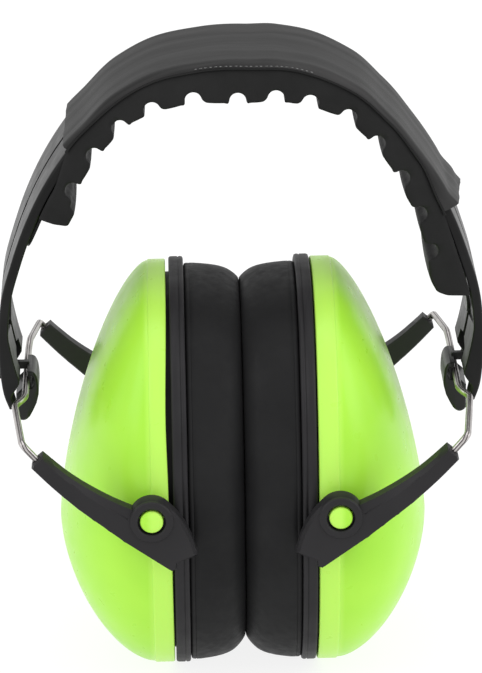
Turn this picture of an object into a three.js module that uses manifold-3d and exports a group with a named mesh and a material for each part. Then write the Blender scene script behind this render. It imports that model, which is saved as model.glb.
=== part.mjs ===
// A folding earmuff hearing protector.
// Millimetres. +Z is up and -Y is the front. The band's arch lies in the XZ plane, and the
// two ear cups stand side by side on z = 0 with their ear cushions facing each other.

import * as THREE from 'three';
import { mergeVertices } from 'three/addons/utils/BufferGeometryUtils.js';
import Module from 'manifold-3d';

const wasm = await Module();
wasm.setup();

// ---------------------------------------------------------------- driving dimensions

// Shapes are drawn with z = 0 near the middle of the cups, and the whole object is then
// lifted by this much. The cups end in a small flat there, on which the object stands.
const LIFT = 43.4;

// Ear cup rim plate: an oval ring in the YZ plane.
const CUP_MIDDLE_Z = 0.85;
const RIM_HALF_HEIGHT = 44.75;
const RIM_HALF_DEPTH = 36.6;
const OVAL_POWER = 2.25;
const RIM_INNER_X = 12.1;
const RIM_OUTER_X = 15.3;

// Cup shell: a straight wall at the rim, a crease, and a dome that is deepest below centre.
const SHELL_START_X = 15.6;
const CREASE_X = 20.2;
const DOME_X = 40.1;
const SHELL_TOP = 45.1;
const SHELL_BOTTOM = -43.9;
const SHELL_HALF_DEPTH = 36.2;
const DOME_CENTRE_Z = -10.6;
const DOME_TOP_POWER = 1.44;
const DOME_BOTTOM_POWER = 1.6;
const DOME_SIDE_POWER = 2;
const DOME_MIDDLE_POWER = 1.5;
const SHELL_WALL = 2.4;
const DOME_RINGS = 9;

// Ear opening, ear cushion and its backing plate.
const OPENING_HALF_HEIGHT = 27;
const OPENING_HALF_DEPTH = 18;
const CUSHION_INNER_X = 0.3;
const CUSHION_OUTER_X = 11.8;
const CUSHION_HALF_HEIGHT = 43;
const CUSHION_HALF_DEPTH = 34.9;
const CUSHION_ROUNDING = 4;
const BACKING_HALF_HEIGHT = 37.5;
const BACKING_HALF_DEPTH = 29.5;
const BACKING_X = [10.1, 11.6];

// Sound-absorbing foam in the shell, and the thin cover in front of it.
const LINER_X = [19.2, 30];
const LINER_COVER_X = [17.9, 18.8];
const LINER_CLEARANCE = 0.8;

// Pivot: a round boss of the shell in the eye of each yoke arm.
const PIVOT = [19.9, 3.8];
const BOSS_RADIUS = 2.46;
const BOSS_Y = [34.6, 42.4];
const EYE_RADIUS = 2.63;

// Yoke arm: a flat lever outside the cup, drawn from the pivot outwards.
const ARM_Y = [38.2, 42.2];
const ARM_HEAD_RADIUS = 4.7;
const ARM_END_TOP = [22.5, 15.2];
const ARM_END_BOTTOM = [25.3, 12.8];
const ARM_UPPER_EDGE = [[3.9, 2.4], [8, 4.4], [13.5, 7.7], [17.7, 10.8]];
const ARM_LOWER_EDGE = [
  [21.2, 8.4], [18.1, 5.4], [14.8, 2.4], [10.9, -0.7], [7.3, -3.6], [4.3, -5.9], [-3.2, -11.2],
];
// The tail beyond the head: a low corner, a step, and a pointed tip.
const ARM_TAIL = [[-4, -11.7], [-5.1, -11.2], [-5.2, -9.7], [-8.2, -8.7], [-9.6, -7.9]];
const WIRE_HOLE_RADIUS = 1.05;
const WIRE_HOLE_DEPTH = 6;
const WIRE_IN_HOLE = 5;

// Wire bail, which turns in the clip about an axis along Y.
const WIRE_RADIUS = 0.75;
const WIRE_SIDES = 8;
const WIRE_STEPS = 96;
const WIRE_Y = 40.2;
// The wire's bends beside the clip, as [x, y, z], and how far from the arms it bends again.
const WIRE_BENDS_FRONT = [[46.6, -14.8, 21.8], [48.8, -17.2, 21]];
const WIRE_BENDS_BACK = [[46.6, 14.8, 21.8], [46.3, 18.2, 22.9]];
const WIRE_OUT_FRONT = 4.4;
const WIRE_OUT_BACK = 1.5;
const BEND_REACH = 1.6;

// Wire clip: a thin hook inside the band with a tab at its foot. A neck and a head pass its slot.
const CLIP_HALF_WIDTH = 5.5;
const CLIP_NECK_HALF_WIDTH = 0.8;
const CLIP_NECK_X = [46, 52.4];
const CLIP_NECK_Z = [23.1, 24.8];
const CLIP_HEAD_X = [52.2, 53.0];
const CLIP_HEAD_HALF_WIDTH = 2.6;
const CLIP_HEAD_Z = [21.6, 26.3];

// Headband: a channel bent to an arch. The profile is its outer face, from crown to tip.
const BAND_PROFILE = [
  [0, 94.8], [13, 93.1], [24, 88.6], [32, 81.7], [37.6, 74.8], [42.3, 67.3], [46.1, 59.2],
  [49.1, 50.7], [51.1, 43.5], [51.9, 36], [51.9, 28.5], [51.3, 22.5], [50.1, 18.7],
];
const BAND_HALF_WIDTH = 14;
const BAND_WEB = 1.8;
const BAND_STEPS = 60;
const FLANGE_THICKNESS = 1.8;
const FLANGE_DEPTH = 2.1;
// Below RAIL_TOP_Z the legs thicken towards their ends, but for a recess the clip slides in.
const RAIL_TOP_Z = 35.2;
const RAIL_DEEPENING = 0.173;
const RECESS_HALF_WIDTH = 6;
const RECESS_TOP_Z = 28;
const FLANGE_END_Z = 24.4;
const FLANGE_TIP_X = 49.95;
const TIP_Z = 18.7;
const NOTCH_TOP_Z = 27.6;
const NOTCH_HALF_WIDTH = 8;
const SLOT_HALF_WIDTH = 1.1;
const SLOT_TOP_Z = 62;

// Head pad, placed by polar angles in degrees about the arch's centre: 0 is +X, 90 the crown.
const ARCH_CENTRE_Z = 44.6;
const PAD_STEPS = 36;
const BASE_ANGLES = [-10, 170];
const BASE_OFFSETS = [2.4, 3.1];
const BASE_HALF_WIDTH = 12.6;
const PAD_ANGLES = [0, 158.6];
const PAD_OUTER_OFFSET = 3.4;
const PAD_HALF_WIDTH = 14.6;
// The pad's inner face, from the crown down one side, as radii about the arch's centre.
const PAD_INNER_RADII = [42.4, 43.4, 44.3, 42.6, 41.0, 40.5, 40.5];
const PAD_RADII_STEP_DEGREES = 15;
const COVER_ANGLES = [19, 136];
const COVER_OFFSETS = [-1.1, -0.3];
const COVER_SKIRT_OFFSET = 3.0;
const COVER_Y = [14.3, 15.1];

const OVAL_POINTS = 40;
const OVERSHOOT = 6;

// ---------------------------------------------------------------- solids and meshes

function solidOf(geometry) {
  const bare = geometry.clone();
  bare.deleteAttribute('normal');
  bare.deleteAttribute('uv');
  const merged = mergeVertices(bare, 1e-4);
  const vertProperties = new Float32Array(merged.attributes.position.array);
  const triVerts = new Uint32Array(merged.index.array);
  return new wasm.Manifold(new wasm.Mesh({ numProp: 3, vertProperties, triVerts }));
}

function geometryOf(solid) {
  const mesh = solid.getMesh();
  const positions = new Float32Array(mesh.vertProperties);
  const geometry = new THREE.BufferGeometry();
  geometry.setAttribute('position', new THREE.BufferAttribute(positions, 3));
  geometry.setIndex([...mesh.triVerts]);
  return geometry;
}

function cut(geometry, ...tools) {
  return geometryOf(tools.reduce((solid, tool) => solid.subtract(solidOf(tool)), solidOf(geometry)));
}

function join(first, ...others) {
  return geometryOf(others.reduce((solid, other) => solid.add(solidOf(other)), solidOf(first)));
}

// The geometry seen in a mirror across the plane x = 0 (or y = 0).
function mirrored(geometry, axis = 'x') {
  const copy = geometry.clone();
  const count = copy.attributes.position.count;
  const index = copy.index ? [...copy.index.array] : [...Array(count).keys()];
  for (let i = 0; i < index.length; i += 3) {
    [index[i], index[i + 1]] = [index[i + 1], index[i]];
  }
  copy.setIndex(index);
  copy.scale(axis === 'x' ? -1 : 1, axis === 'y' ? -1 : 1, 1);
  return copy;
}

function outlineOf(points) {
  return new THREE.Shape(points.map(([u, v]) => new THREE.Vector2(u, v)));
}

// A prism of an outline drawn in x and z, from y = low to y = high.
function prismAlongY(outline, low, high) {
  const prism = new THREE.ExtrudeGeometry(outline, { depth: high - low, bevelEnabled: false });
  prism.rotateX(Math.PI / 2);
  prism.translate(0, high, 0);
  return prism;
}

// A prism of an outline drawn in y and z, from x = low to x = high.
function prismAlongX(outline, low, high) {
  const prism = new THREE.ExtrudeGeometry(outline, { depth: high - low, bevelEnabled: false });
  prism.rotateX(Math.PI / 2);
  prism.rotateZ(Math.PI / 2);
  prism.translate(low, 0, 0);
  return prism;
}

function rodBetween(start, end, radius, segments = 24) {
  const along = new THREE.Vector3().subVectors(end, start);
  const rod = new THREE.CylinderGeometry(radius, radius, along.length(), segments);
  const upright = new THREE.Vector3(0, 1, 0);
  const turn = new THREE.Quaternion().setFromUnitVectors(upright, along.clone().normalize());
  rod.applyQuaternion(turn);
  const middle = new THREE.Vector3().addVectors(start, end).multiplyScalar(0.5);
  rod.translate(middle.x, middle.y, middle.z);
  return rod;
}

function boxBetween(xs, ys, zs) {
  const block = new THREE.BoxGeometry(xs[1] - xs[0], ys[1] - ys[0], zs[1] - zs[0]);
  block.translate((xs[0] + xs[1]) / 2, (ys[0] + ys[1]) / 2, (zs[0] + zs[1]) / 2);
  return block;
}

// A closed skin over rings of equal point counts, ordered by rising x, with flat ends.
function loft(rings) {
  const count = rings[0].length;
  const positions = rings.flat(2);
  const middleOf = (ring) => [0, 1, 2].map((k) => ring.reduce((sum, p) => sum + p[k], 0) / count);
  const firstCap = rings.length * count;
  positions.push(...middleOf(rings[0]), ...middleOf(rings.at(-1)));
  const index = [];
  for (let i = 0; i < count; i += 1) {
    const next = (i + 1) % count;
    index.push(firstCap, next, i);
    for (let start = 0; start < firstCap - count; start += count) {
      index.push(start + i, start + next, start + next + count);
      index.push(start + i, start + next + count, start + i + count);
    }
    index.push(firstCap + 1, firstCap - count + i, firstCap - count + next);
  }
  const geometry = new THREE.BufferGeometry();
  geometry.setAttribute('position', new THREE.Float32BufferAttribute(positions, 3));
  geometry.setIndex(index);
  return geometry;
}

// One oval ring at a given x. Its widest line is at z = middle.
function ovalRing(x, halfDepth, top, bottom, middle) {
  return Array.from({ length: OVAL_POINTS }, (_, i) => {
    const angle = ((i + 0.5) / OVAL_POINTS) * 2 * Math.PI;
    const across = Math.cos(angle);
    const up = Math.sin(angle);
    const y = halfDepth * Math.sign(across) * Math.abs(across) ** (2 / OVAL_POWER);
    const reach = up > 0 ? top - middle : middle - bottom;
    const z = middle + reach * Math.sign(up) * Math.abs(up) ** (2 / OVAL_POWER);
    return [x, y, z];
  });
}

function levelRing(x, halfHeight, halfDepth) {
  const top = CUP_MIDDLE_Z + halfHeight;
  const bottom = CUP_MIDDLE_Z - halfHeight;
  return ovalRing(x, halfDepth, top, bottom, CUP_MIDDLE_Z);
}

function ovalDisc(xs, halfHeight, halfDepth) {
  return loft(xs.map((x) => levelRing(x, halfHeight, halfDepth)));
}

function earOpening(shrink = 0) {
  const halfHeight = OPENING_HALF_HEIGHT - shrink;
  return ovalDisc([-OVERSHOOT, RIM_OUTER_X + OVERSHOOT], halfHeight, OPENING_HALF_DEPTH - shrink);
}

function belowTheFlat() {
  return boxBetween([0, DOME_X], [-RIM_HALF_DEPTH, RIM_HALF_DEPTH], [-LIFT - OVERSHOOT, -LIFT]);
}

// ---------------------------------------------------------------- one ear cup, at +X

// The shell's outer form, or with an inset, the form of what lies inside it.
function shellForm(startX, inset, endX = DOME_X - inset) {
  const rings = [startX, CREASE_X].map((x) =>
    ovalRing(x, SHELL_HALF_DEPTH - inset, SHELL_TOP - inset, SHELL_BOTTOM + inset, CUP_MIDDLE_Z));
  for (let i = 1; i <= DOME_RINGS; i += 1) {
    const out = Math.min(Math.sin((i / DOME_RINGS) * Math.PI / 2), 0.996);
    const x = CREASE_X + (DOME_X - inset - CREASE_X) * out;
    const shrink = (power) => (1 - out ** power) ** (1 / power);
    const top = DOME_CENTRE_Z + (SHELL_TOP - inset - DOME_CENTRE_Z) * shrink(DOME_TOP_POWER);
    const bottom = DOME_CENTRE_Z + (SHELL_BOTTOM + inset - DOME_CENTRE_Z) * shrink(DOME_BOTTOM_POWER);
    const halfDepth = (SHELL_HALF_DEPTH - inset) * shrink(DOME_SIDE_POWER);
    const drop = (DOME_CENTRE_Z - CUP_MIDDLE_Z) * out ** DOME_MIDDLE_POWER;
    if (x <= endX) {
      rings.push(ovalRing(x, halfDepth, top, bottom, CUP_MIDDLE_Z + drop));
    }
  }
  return loft(rings);
}

// A rod along Y on the pivot's axis.
function pivotRod(startY, endY, radius) {
  const at = (y) => new THREE.Vector3(PIVOT[0], y, PIVOT[1]);
  return rodBetween(at(startY), at(endY), radius);
}

function cupShell() {
  const hollow = shellForm(SHELL_START_X - OVERSHOOT, SHELL_WALL);
  const bowl = cut(shellForm(SHELL_START_X, 0), hollow, belowTheFlat());
  const backBoss = pivotRod(BOSS_Y[0], BOSS_Y[1], BOSS_RADIUS);
  const frontBoss = pivotRod(-BOSS_Y[0], -BOSS_Y[1], BOSS_RADIUS);
  return join(bowl, backBoss, frontBoss);
}

function cupRimPlate() {
  const plate = ovalDisc([RIM_INNER_X, RIM_OUTER_X], RIM_HALF_HEIGHT, RIM_HALF_DEPTH);
  return cut(plate, earOpening(), belowTheFlat());
}

function cushionBackingPlate() {
  return cut(ovalDisc(BACKING_X, BACKING_HALF_HEIGHT, BACKING_HALF_DEPTH), earOpening());
}

function earCushion() {
  const rings = [];
  const steps = 4;
  for (let i = 0; i <= steps; i += 1) {
    const angle = (i / steps) * Math.PI / 2;
    const inset = CUSHION_ROUNDING * (1 - Math.sin(angle));
    const x = CUSHION_INNER_X + CUSHION_ROUNDING * (1 - Math.cos(angle));
    rings.push(levelRing(x, CUSHION_HALF_HEIGHT - inset, CUSHION_HALF_DEPTH - inset));
  }
  rings.push(levelRing(CUSHION_OUTER_X, CUSHION_HALF_HEIGHT, CUSHION_HALF_DEPTH));
  const gap = 0.3;
  const pocketX = [BACKING_X[0] - gap, CUSHION_OUTER_X + OVERSHOOT];
  const pocket = ovalDisc(pocketX, BACKING_HALF_HEIGHT + gap, BACKING_HALF_DEPTH + gap);
  return cut(loft(rings), earOpening(1), pocket);
}

function soundLiner() {
  return shellForm(LINER_X[0], SHELL_WALL + LINER_CLEARANCE, LINER_X[1]);
}

function linerCover() {
  const inset = SHELL_WALL + LINER_CLEARANCE;
  const halfHeight = (SHELL_TOP - SHELL_BOTTOM) / 2 - inset;
  return ovalDisc(LINER_COVER_X, halfHeight, SHELL_HALF_DEPTH - inset);
}

// ---------------------------------------------------------------- one yoke and its wire, at +X

function yokeArmFront() {
  const [neck, ...upper] = ARM_UPPER_EDGE;
  const outline = new THREE.Shape();
  outline.moveTo(...neck);
  outline.splineThru([...upper, ARM_END_TOP].map((point) => new THREE.Vector2(...point)));
  [ARM_END_BOTTOM, ...ARM_LOWER_EDGE, ...ARM_TAIL].forEach((point) => outline.lineTo(...point));
  outline.quadraticCurveTo(-7.9, -0.6, -3.4, 3.2);
  outline.absarc(0, 0, ARM_HEAD_RADIUS, Math.PI * 0.75, Math.PI * 0.175, true);
  const arm = prismAlongY(outline, -ARM_Y[1], -ARM_Y[0]);
  arm.translate(PIVOT[0], 0, PIVOT[1]);
  const eye = pivotRod(-ARM_Y[1] - OVERSHOOT, -ARM_Y[0] + OVERSHOOT, EYE_RADIUS);
  const wireHole = rodBetween(wireEntry(-OVERSHOOT), wireEntry(WIRE_HOLE_DEPTH), WIRE_HOLE_RADIUS, 16);
  return cut(arm, eye, wireHole);
}

// The point on the wire hole's centre line at a depth below the arm's front end face.
function wireEntry(depth) {
  const top = new THREE.Vector2(...ARM_END_TOP);
  const bottom = new THREE.Vector2(...ARM_END_BOTTOM);
  const middle = top.clone().add(bottom).multiplyScalar(0.5);
  const across = bottom.clone().sub(top).normalize();
  const inward = new THREE.Vector2(across.y, -across.x).multiplyScalar(depth);
  return new THREE.Vector3(PIVOT[0] + middle.x + inward.x, -WIRE_Y, PIVOT[1] + middle.y + inward.y);
}

// Points along straight runs between corners, with each inner corner eased into a bend.
function easedPath(corners) {
  const path = [corners[0]];
  for (let i = 1; i < corners.length - 1; i += 1) {
    const corner = corners[i];
    const towards = (other) => other.clone().sub(corner).setLength(BEND_REACH).add(corner);
    const bend = new THREE.QuadraticBezierCurve3(towards(corners[i - 1]), corner, towards(corners[i + 1]));
    path.push(...bend.getPoints(4));
  }
  path.push(corners.at(-1));
  return path;
}

function wireBail() {
  const toVectors = (points) => points.map((point) => new THREE.Vector3(...point));
  const behind = (point) => new THREE.Vector3(point.x, -point.y, point.z);
  const front = [...toVectors(WIRE_BENDS_FRONT), wireEntry(-WIRE_OUT_FRONT), wireEntry(WIRE_IN_HOLE)];
  const back = [...toVectors(WIRE_BENDS_BACK), ...[-WIRE_OUT_BACK, WIRE_IN_HOLE].map(wireEntry).map(behind)];
  const path = new THREE.CatmullRomCurve3(easedPath([...front.reverse(), ...back]), false, 'centripetal');
  const section = outlineOf(
    Array.from({ length: WIRE_SIDES }, (_, i) => {
      const angle = (i / WIRE_SIDES) * 2 * Math.PI;
      return [WIRE_RADIUS * Math.cos(angle), WIRE_RADIUS * Math.sin(angle)];
    }),
  );
  return new THREE.ExtrudeGeometry(section, { steps: WIRE_STEPS, extrudePath: path, bevelEnabled: false });
}

// ---------------------------------------------------------------- one wire clip, at +X

function wireClip() {
  const outline = new THREE.Shape();
  outline.moveTo(45.4, 24.2);
  outline.quadraticCurveTo(44.2, 23.9, 43.7, 22.4);
  outline.quadraticCurveTo(43.5, 20.6, 44.2, 18.8);
  outline.lineTo(46.2, 13.8);
  outline.quadraticCurveTo(47.5, 11.9, 48.9, 13.7);
  outline.lineTo(48.9, 19);
  outline.lineTo(47.4, 20.4);
  outline.lineTo(45.5, 20.4);
  outline.quadraticCurveTo(44.9, 21.1, 44.9, 22);
  outline.lineTo(45.3, 23);
  outline.lineTo(46.4, 23.1);
  outline.lineTo(46.4, 24.2);
  const block = prismAlongY(outline, -CLIP_HALF_WIDTH, CLIP_HALF_WIDTH);
  const acrossOf = (halfWidth) => [-halfWidth, halfWidth];
  const neck = boxBetween(CLIP_NECK_X, acrossOf(CLIP_NECK_HALF_WIDTH), CLIP_NECK_Z);
  const head = boxBetween(CLIP_HEAD_X, acrossOf(CLIP_HEAD_HALF_WIDTH), CLIP_HEAD_Z);
  return join(block, neck, head);
}

// ---------------------------------------------------------------- headband and head pad

function bandCurve() {
  const right = BAND_PROFILE.map(([x, z]) => new THREE.Vector2(x, z));
  const left = BAND_PROFILE.slice(1).map(([x, z]) => new THREE.Vector2(-x, z));
  return new THREE.SplineCurve([...right.reverse(), ...left]);
}

const band = bandCurve();

// The point at an offset inward from the band's outer face, at fraction t from tip to tip.
function bandPoint(t, offset) {
  const point = band.getPoint(t);
  const along = band.getTangent(t);
  return [point.x - along.y * offset, point.y + along.x * offset];
}

// The fraction along the band at a polar angle about the arch's centre.
function bandFraction(degrees) {
  let low = 0;
  let high = 1;
  for (let i = 0; i < 30; i += 1) {
    const middle = (low + high) / 2;
    const point = band.getPoint(middle);
    const angle = THREE.MathUtils.radToDeg(Math.atan2(point.y - ARCH_CENTRE_Z, point.x));
    const unwound = angle < -90 ? angle + 360 : angle;
    if (unwound < degrees) {
      low = middle;
    } else {
      high = middle;
    }
  }
  return low;
}

// An arched strip between two offsets, given as numbers or as functions of the fraction.
function archOutline(angles, outerOffset, innerOffset, steps) {
  const [start, end] = angles ? angles.map(bandFraction) : [0, 1];
  const outer = [];
  const inner = [];
  for (let i = 0; i <= steps; i += 1) {
    const t = start + ((end - start) * i) / steps;
    const depth = typeof innerOffset === 'function' ? innerOffset(t) : innerOffset;
    outer.push(bandPoint(t, outerOffset));
    inner.push(bandPoint(t, depth));
  }
  return outlineOf([...outer, ...inner.reverse()]);
}

function flangeDepth(t) {
  return FLANGE_DEPTH + RAIL_DEEPENING * Math.max(0, RAIL_TOP_Z - band.getPoint(t).y);
}

function headbandFrame() {
  const web = prismAlongY(archOutline(null, 0, BAND_WEB, BAND_STEPS), -BAND_HALF_WIDTH, BAND_HALF_WIDTH);
  const flangeOutline = archOutline(null, 0, flangeDepth, BAND_STEPS);
  const flangeStart = BAND_HALF_WIDTH - FLANGE_THICKNESS;
  const footRelief = prismAlongY(
    outlineOf([
      [40, FLANGE_END_Z], [47.6, FLANGE_END_Z], [FLANGE_TIP_X, 21.2], [FLANGE_TIP_X, 10], [40, 10],
    ]),
    -BAND_HALF_WIDTH - OVERSHOOT,
    BAND_HALF_WIDTH + OVERSHOOT,
  );
  const deepBetween = (low, high) =>
    cut(prismAlongY(flangeOutline, low, high), footRelief, mirrored(footRelief));
  const aboveRails = boxBetween([-60, 60], [-20, 20], [RAIL_TOP_Z, 110]);
  const recess = boxBetween([40, 50], [-RECESS_HALF_WIDTH, RECESS_HALF_WIDTH], [0, RECESS_TOP_Z]);
  const legs = cut(deepBetween(-BAND_HALF_WIDTH, BAND_HALF_WIDTH), aboveRails, recess, mirrored(recess));
  const channel = join(
    web,
    deepBetween(flangeStart, BAND_HALF_WIDTH),
    deepBetween(-BAND_HALF_WIDTH, -flangeStart),
    legs,
  );
  const notch = prismAlongX(
    outlineOf([
      [-NOTCH_HALF_WIDTH, TIP_Z], [-NOTCH_HALF_WIDTH, 0], [NOTCH_HALF_WIDTH, 0],
      [NOTCH_HALF_WIDTH, TIP_Z], [0, NOTCH_TOP_Z],
    ]),
    40,
    60,
  );
  const slot = boxBetween([36, 60], [-SLOT_HALF_WIDTH, SLOT_HALF_WIDTH], [TIP_Z, SLOT_TOP_Z]);
  return cut(channel, notch, mirrored(notch), slot, mirrored(slot));
}

function headPadBase() {
  const outline = archOutline(BASE_ANGLES, ...BASE_OFFSETS, PAD_STEPS);
  return prismAlongY(outline, -BASE_HALF_WIDTH, BASE_HALF_WIDTH);
}

function padInnerPoint(degrees) {
  const radii = PAD_INNER_RADII;
  const place = Math.min(Math.abs(90 - degrees) / PAD_RADII_STEP_DEGREES, radii.length - 1.001);
  const step = Math.floor(place);
  const radius = THREE.MathUtils.lerp(radii[step], radii[step + 1], place - step);
  const angle = THREE.MathUtils.degToRad(degrees);
  return [radius * Math.cos(angle), ARCH_CENTRE_Z + radius * Math.sin(angle)];
}

function headPadCushion() {
  const degrees = Array.from({ length: PAD_STEPS + 1 }, (_, i) =>
    THREE.MathUtils.lerp(PAD_ANGLES[0], PAD_ANGLES[1], i / PAD_STEPS));
  const outer = degrees.map((angle) => bandPoint(bandFraction(angle), PAD_OUTER_OFFSET));
  const inner = degrees.map(padInnerPoint).reverse();
  return prismAlongY(outlineOf([...outer, ...inner]), -PAD_HALF_WIDTH, PAD_HALF_WIDTH);
}

function headPadCover() {
  const [innerY, outerY] = COVER_Y;
  const top = prismAlongY(archOutline(COVER_ANGLES, ...COVER_OFFSETS, PAD_STEPS), -outerY, outerY);
  const skirtOutline = archOutline(COVER_ANGLES, COVER_OFFSETS[0], COVER_SKIRT_OFFSET, PAD_STEPS);
  return join(top, prismAlongY(skirtOutline, innerY, outerY), prismAlongY(skirtOutline, -outerY, -innerY));
}

// ---------------------------------------------------------------- materials and assembly

const satinBlack = { color: 0x2c2c2e, roughness: 0.42, metalness: 0 };
const FINISHES = {
  bandPlastic: { color: 0x343436, roughness: 0.35, metalness: 0 },
  armPlastic: satinBlack,
  rimPlastic: { color: 0x303032, roughness: 0.5, metalness: 0 },
  limePlastic: { color: 0xb4f24e, roughness: 0.3, metalness: 0 },
  leatherette: { color: 0x202021, roughness: 0.6, metalness: 0 },
  cushionSkin: { color: 0x262627, roughness: 0.62, metalness: 0 },
  steelWire: { color: 0xc9c6c2, roughness: 0.2, metalness: 1 },
  foam: { color: 0x2f3135, roughness: 0.95, metalness: 0 },
  scrim: { color: 0x1a1a1b, roughness: 0.9, metalness: 0 },
};

const earmuff = new THREE.Group();

function addPiece(name, geometry, finish) {
  const plain = geometry.clone();
  plain.deleteAttribute('normal');
  plain.deleteAttribute('uv');
  plain.computeVertexNormals();
  const piece = new THREE.Mesh(plain, new THREE.MeshStandardMaterial(FINISHES[finish]));
  piece.name = name;
  piece.position.z = LIFT;
  earmuff.add(piece);
}

function addPair(name, geometry, finish) {
  addPiece(`${name}_left`, mirrored(geometry), finish);
  addPiece(`${name}_right`, geometry, finish);
}

addPiece('headband_frame', headbandFrame(), 'bandPlastic');
addPiece('head_pad_base', headPadBase(), 'bandPlastic');
addPiece('head_pad_cushion', headPadCushion(), 'cushionSkin');
addPiece('head_pad_cover', headPadCover(), 'leatherette');

addPair('wire_clip', wireClip(), 'armPlastic');
addPair('wire_bail', wireBail(), 'steelWire');
addPair('yoke_arm_front', yokeArmFront(), 'armPlastic');
addPair('yoke_arm_back', mirrored(yokeArmFront(), 'y'), 'armPlastic');

addPair('cup_shell', cupShell(), 'limePlastic');
addPair('cup_rim_plate', cupRimPlate(), 'rimPlastic');
addPair('sound_liner', soundLiner(), 'foam');
addPair('liner_cover', linerCover(), 'scrim');
addPair('cushion_backing_plate', cushionBackingPlate(), 'rimPlastic');
addPair('ear_cushion', earCushion(), 'cushionSkin');

export default earmuff;
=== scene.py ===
"""Looks of a folding earmuff hearing protector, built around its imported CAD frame.

Shapes are worked out in millimetres with z = 0 near the middle of the ear cups, as the CAD
source draws them. add_piece() lifts them onto the frame and turns them into metres.
"""

import math

import bmesh
import bpy
import numpy as np
from mathutils import Matrix, Vector


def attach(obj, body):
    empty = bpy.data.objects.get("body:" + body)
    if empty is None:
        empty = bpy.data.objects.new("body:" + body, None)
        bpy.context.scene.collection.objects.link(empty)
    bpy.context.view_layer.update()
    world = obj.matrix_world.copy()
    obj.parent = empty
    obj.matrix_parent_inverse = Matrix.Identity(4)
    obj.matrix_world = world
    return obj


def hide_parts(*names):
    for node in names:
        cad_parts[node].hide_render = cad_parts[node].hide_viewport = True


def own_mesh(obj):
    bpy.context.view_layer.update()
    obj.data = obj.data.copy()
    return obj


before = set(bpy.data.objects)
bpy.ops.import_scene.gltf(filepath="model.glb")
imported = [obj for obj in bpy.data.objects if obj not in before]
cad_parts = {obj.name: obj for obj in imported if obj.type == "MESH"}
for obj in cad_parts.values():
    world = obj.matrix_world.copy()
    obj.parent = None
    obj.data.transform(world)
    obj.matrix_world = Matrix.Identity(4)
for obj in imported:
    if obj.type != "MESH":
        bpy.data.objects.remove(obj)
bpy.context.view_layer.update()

# ---------------------------------------------------------------- driving dimensions

MM = 0.001
LIFT = 43.4
WELD_DISTANCE = 0.004

# Camera: angles in degrees, lengths in millimetres.
VIEW_ELEVATION = 20.4
VIEW_TURN = 1.03
VIEW_ROLL = 0.85
VIEW_DISTANCE = 915
VIEW_CENTRE = (0.19, 27.45)
SENSOR = 36
LENS = 222.5

# Ear cups.
CUP_MIDDLE_Z = 0.85
OVAL_POWER = 2.25
RING_COUNT = 144
RIM_HALF = (44.75, 36.6)
RIM_X = (12.1, 15.3)
# The rim plate's rib stands inside the shell.
RIB_HALF = (41.5, 33.4)
RIB_TOP_X = 17.6
SHELL_START_X = 15.6
CREASE_X = 20.2
CREASE_DEPTH = 0.3
DOME_X = 40.1
SHELL_TOP = 45.1
SHELL_BOTTOM = -43.9
SHELL_HALF_DEPTH = 36.2
DOME_CENTRE_Z = -10.6
DOME_POWERS = {"top": 1.44, "bottom": 1.6, "side": 2.0, "middle": 1.5}
SHELL_WALL = 2.4
OPENING = (27, 18)
CUSHION_X = (0.04, 12.06)
CUSHION_HALF = (43.7, 36.0)
CUSHION_DROP = 0.5
# The pads round over less at the top than at the bottom: this share of the inset is used there.
CUSHION_TOP_SHARE = 0.65
BACKING_X = (10.1, 11.6)
BACKING_HALF = (37.5, 29.5)
LINER_X = (19.2, 30)
LINER_COVER_X = (17.9, 18.8)
LINER_INSET = 3.2
# The left shell stands off its rim plate a little: how far, by height.
SHELL_GAP = ((-44, 0.0), (-9, 0.12), (8, 0.7), (22, 0.95), (45, 0.4))

# Pivot bosses, yoke arms and wire.
PIVOT = (19.9, 3.8)
EYE_RADIUS = 2.63
BOSS_RING_RADIUS = 2.98
# Profiles about the pivot's axis, as (y, radius).
BOSS_PROFILE = ((34.6, 2.46), (42.15, 2.46), (42.42, 2.36), (42.56, 2.1), (42.6, 1.2))
ARM_COLLAR = ((-39.5, 4.6), (-42.35, 4.6), (-42.6, 4.35), (-42.6, 3.3), (-42.45, 3.1))
ARM_Y = (38.2, 42.2)
ARM_HEAD_RADIUS = 4.7
ARM_END_TOP = (22.5, 15.2)
ARM_END_BOTTOM = (25.3, 12.8)
ARM_UPPER_EDGE = ((3.9, 2.4), (8, 4.4), (13.5, 7.7), (17.7, 10.8))
ARM_LOWER_EDGE = (
    (21.2, 8.4), (18.1, 5.4), (14.8, 2.4), (10.9, -0.7), (7.3, -3.6), (4.3, -5.9), (-3.2, -11.2),
)
ARM_TAIL = ((-4, -11.7), (-5.1, -11.2), (-5.2, -9.7), (-8.2, -8.7), (-9.6, -7.9))
ARM_HEEL = (-8.6, -5.0)
ARM_BACK = ((-9.2, -7.2), (-7.7, -0.6), (-3.4, 3.2))
ARM_GROOVE = ((5.0, 0.75), (9.2, 3.5), (12.6, 5.9), (16.6, 8.9))
# The width of the upper edge's chamfer, by x.
ARM_CHAMFERS = ((3.9, 1.9), (9, 1.6), (16, 0.9), (22.5, 0.45))
# The scallops in the lower edge. Each is a list of (place along it, depth).
SCALLOPS = 6
SCALLOP_START = 5.6
SCALLOP_PITCH = 4.05
SCALLOP = ((-1.1, 0.0), (-0.4, 0.07), (-0.1, 0.34), (0.25, 0.3), (0.7, 0.05))
WIRE_HOLE_RADIUS = 1.05
WIRE_RADIUS = 0.75
WIRE_Y = 40.2
# The wire's bends beside the clip, as (x, y, z), and how far from the arms it bends again.
WIRE_BENDS_FRONT = ((46.6, -14.8, 21.8), (48.8, -17.2, 21.0))
WIRE_BENDS_BACK = ((46.6, 14.8, 21.8), (46.3, 18.2, 22.9))
WIRE_OUT_FRONT = 4.4
WIRE_OUT_BACK = 1.5
BEND_REACH = 1.6

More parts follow.
